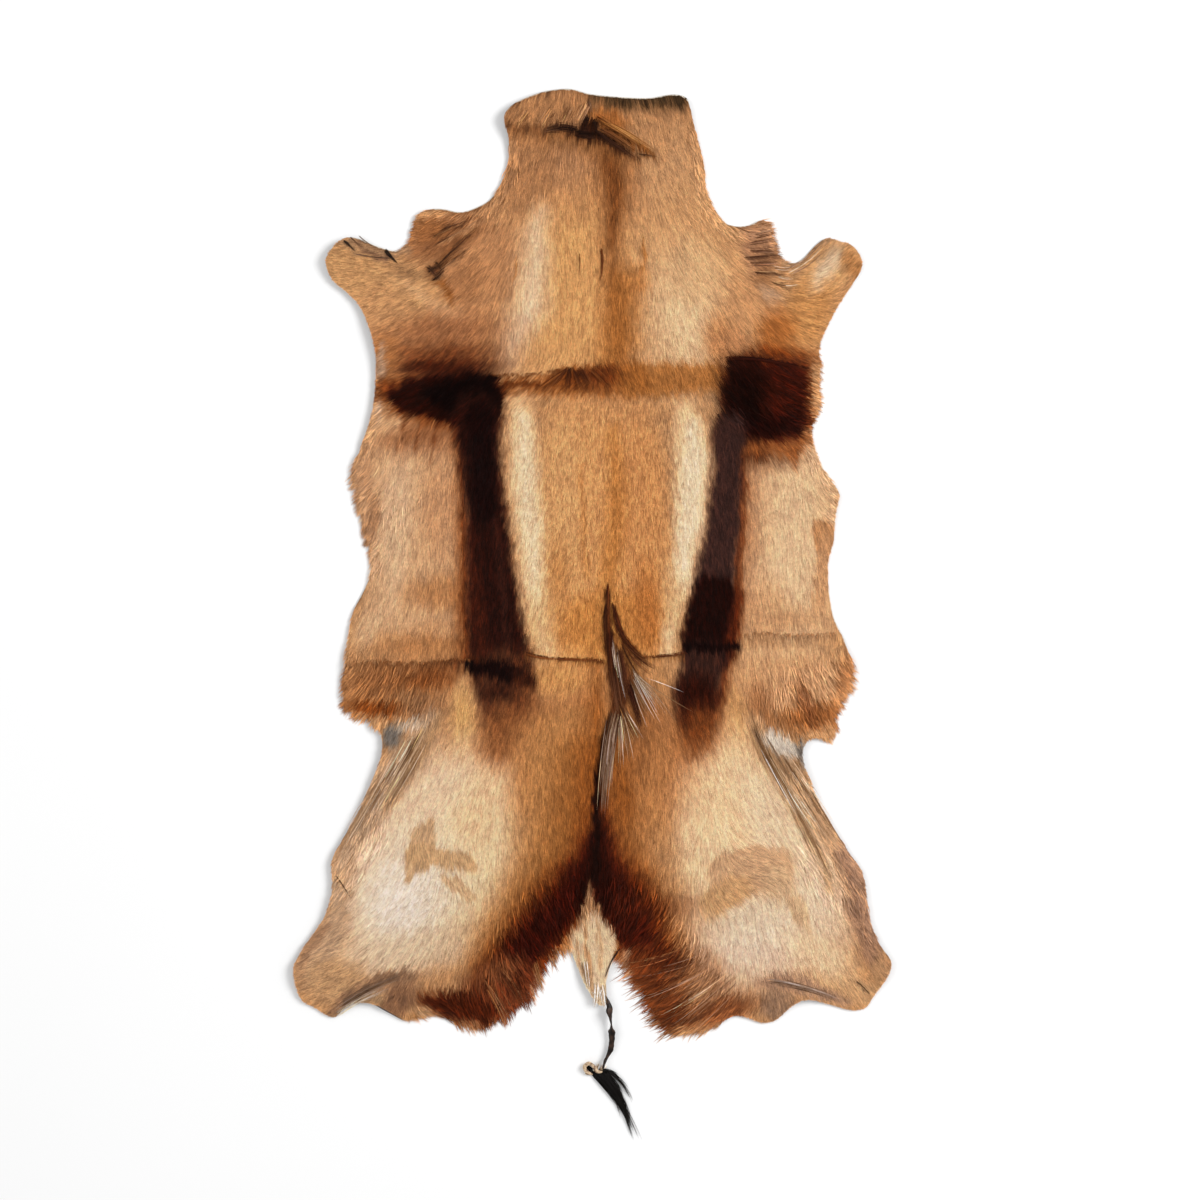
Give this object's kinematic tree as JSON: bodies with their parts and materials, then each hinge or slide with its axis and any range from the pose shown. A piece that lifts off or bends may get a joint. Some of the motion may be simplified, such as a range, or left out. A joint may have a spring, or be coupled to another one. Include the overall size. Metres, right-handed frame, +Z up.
{
  "type": "springbok hide",
  "caption": "Flat tanned springbok hide with the hair on: neck, forelegs, belly flaps, hind legs and a thin dried tail with a black tuft.",
  "frame": {"origin": "middle of the length and width, at the underside, on the surface the hide lies on", "axes": "+Y from the tail towards the neck, +Z up from the surface towards the hair, +X to the right seen from above"},
  "size_m": [0.5962, 1.05, 0.0121],
  "materials": {
    "haired_skin": "soft hair",
    "black_hair": "glossy hair"
  },
  "bodies": {
    "root": {"hide": "haired_skin", "tail_tuft": "black_hair"}
  },
  "joints": []
}
